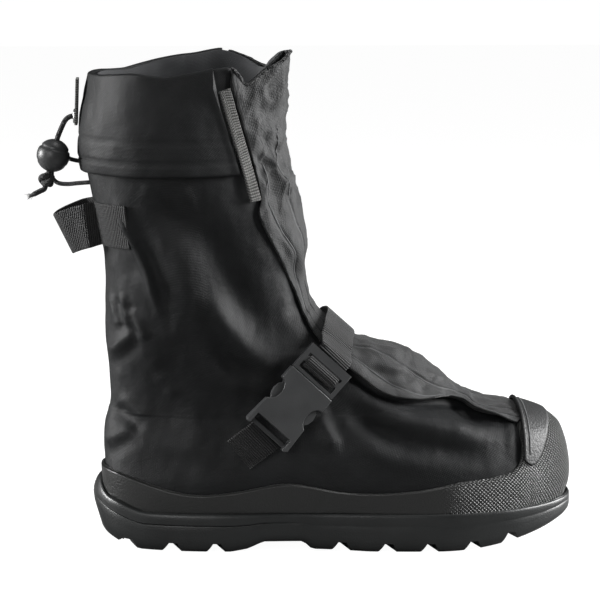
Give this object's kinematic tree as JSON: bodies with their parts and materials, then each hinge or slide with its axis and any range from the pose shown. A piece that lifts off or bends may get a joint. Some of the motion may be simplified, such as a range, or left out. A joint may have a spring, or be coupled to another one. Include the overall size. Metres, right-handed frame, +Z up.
{
  "type": "winter overshoe",
  "caption": "Winter overshoe: lugged rubber cup sole, textured rubber rand and toe cap, hollow fabric shaft with turned-down collar, front closure, buckled instep strap, pull loop and drawcord.",
  "frame": {"origin": "on the floor, on the heel's middle tread block, under the leg's axis", "axes": "+X to the toe, +Y to the inner side of the foot, +Z up"},
  "size_m": [0.3726, 0.1281, 0.3319],
  "materials": {
    "sole_rubber": "matt moulded black rubber, with a satin sheen on worn edges",
    "rand_rubber": "black rubber with a fine pebbled and knurled texture",
    "shaft_fabric": "tightly woven matt black nylon with soft folds",
    "panel_fabric": "slightly lighter black woven cloth",
    "webbing": "ribbed black webbing",
    "buckle_plastic": "moulded black plastic, lightly satin",
    "patch_leather": "pebbled black synthetic leather with a piped back edge",
    "cord": "braided black cord",
    "insole_foam": "plain dark grey liner",
    "eyelet_metal": "bright pressed metal"
  },
  "bodies": {
    "root": {"outsole": "sole_rubber", "insole": "insole_foam", "upper": "shaft_fabric", "rand": "rand_rubber", "toe_patch": "patch_leather", "front_panel": "panel_fabric", "collar_cuff": "shaft_fabric", "hook_tape": "webbing", "instep_strap": "webbing", "anchor_strap": "webbing", "buckle_female": "buckle_plastic", "buckle_male": "buckle_plastic", "pull_loop": "webbing", "eyelet_tab": "webbing", "eyelet": "eyelet_metal", "cord_lock": "buckle_plastic", "cord_knot": "cord", "draw_cord": "cord", "loop_cord": "cord"}
  },
  "joints": []
}
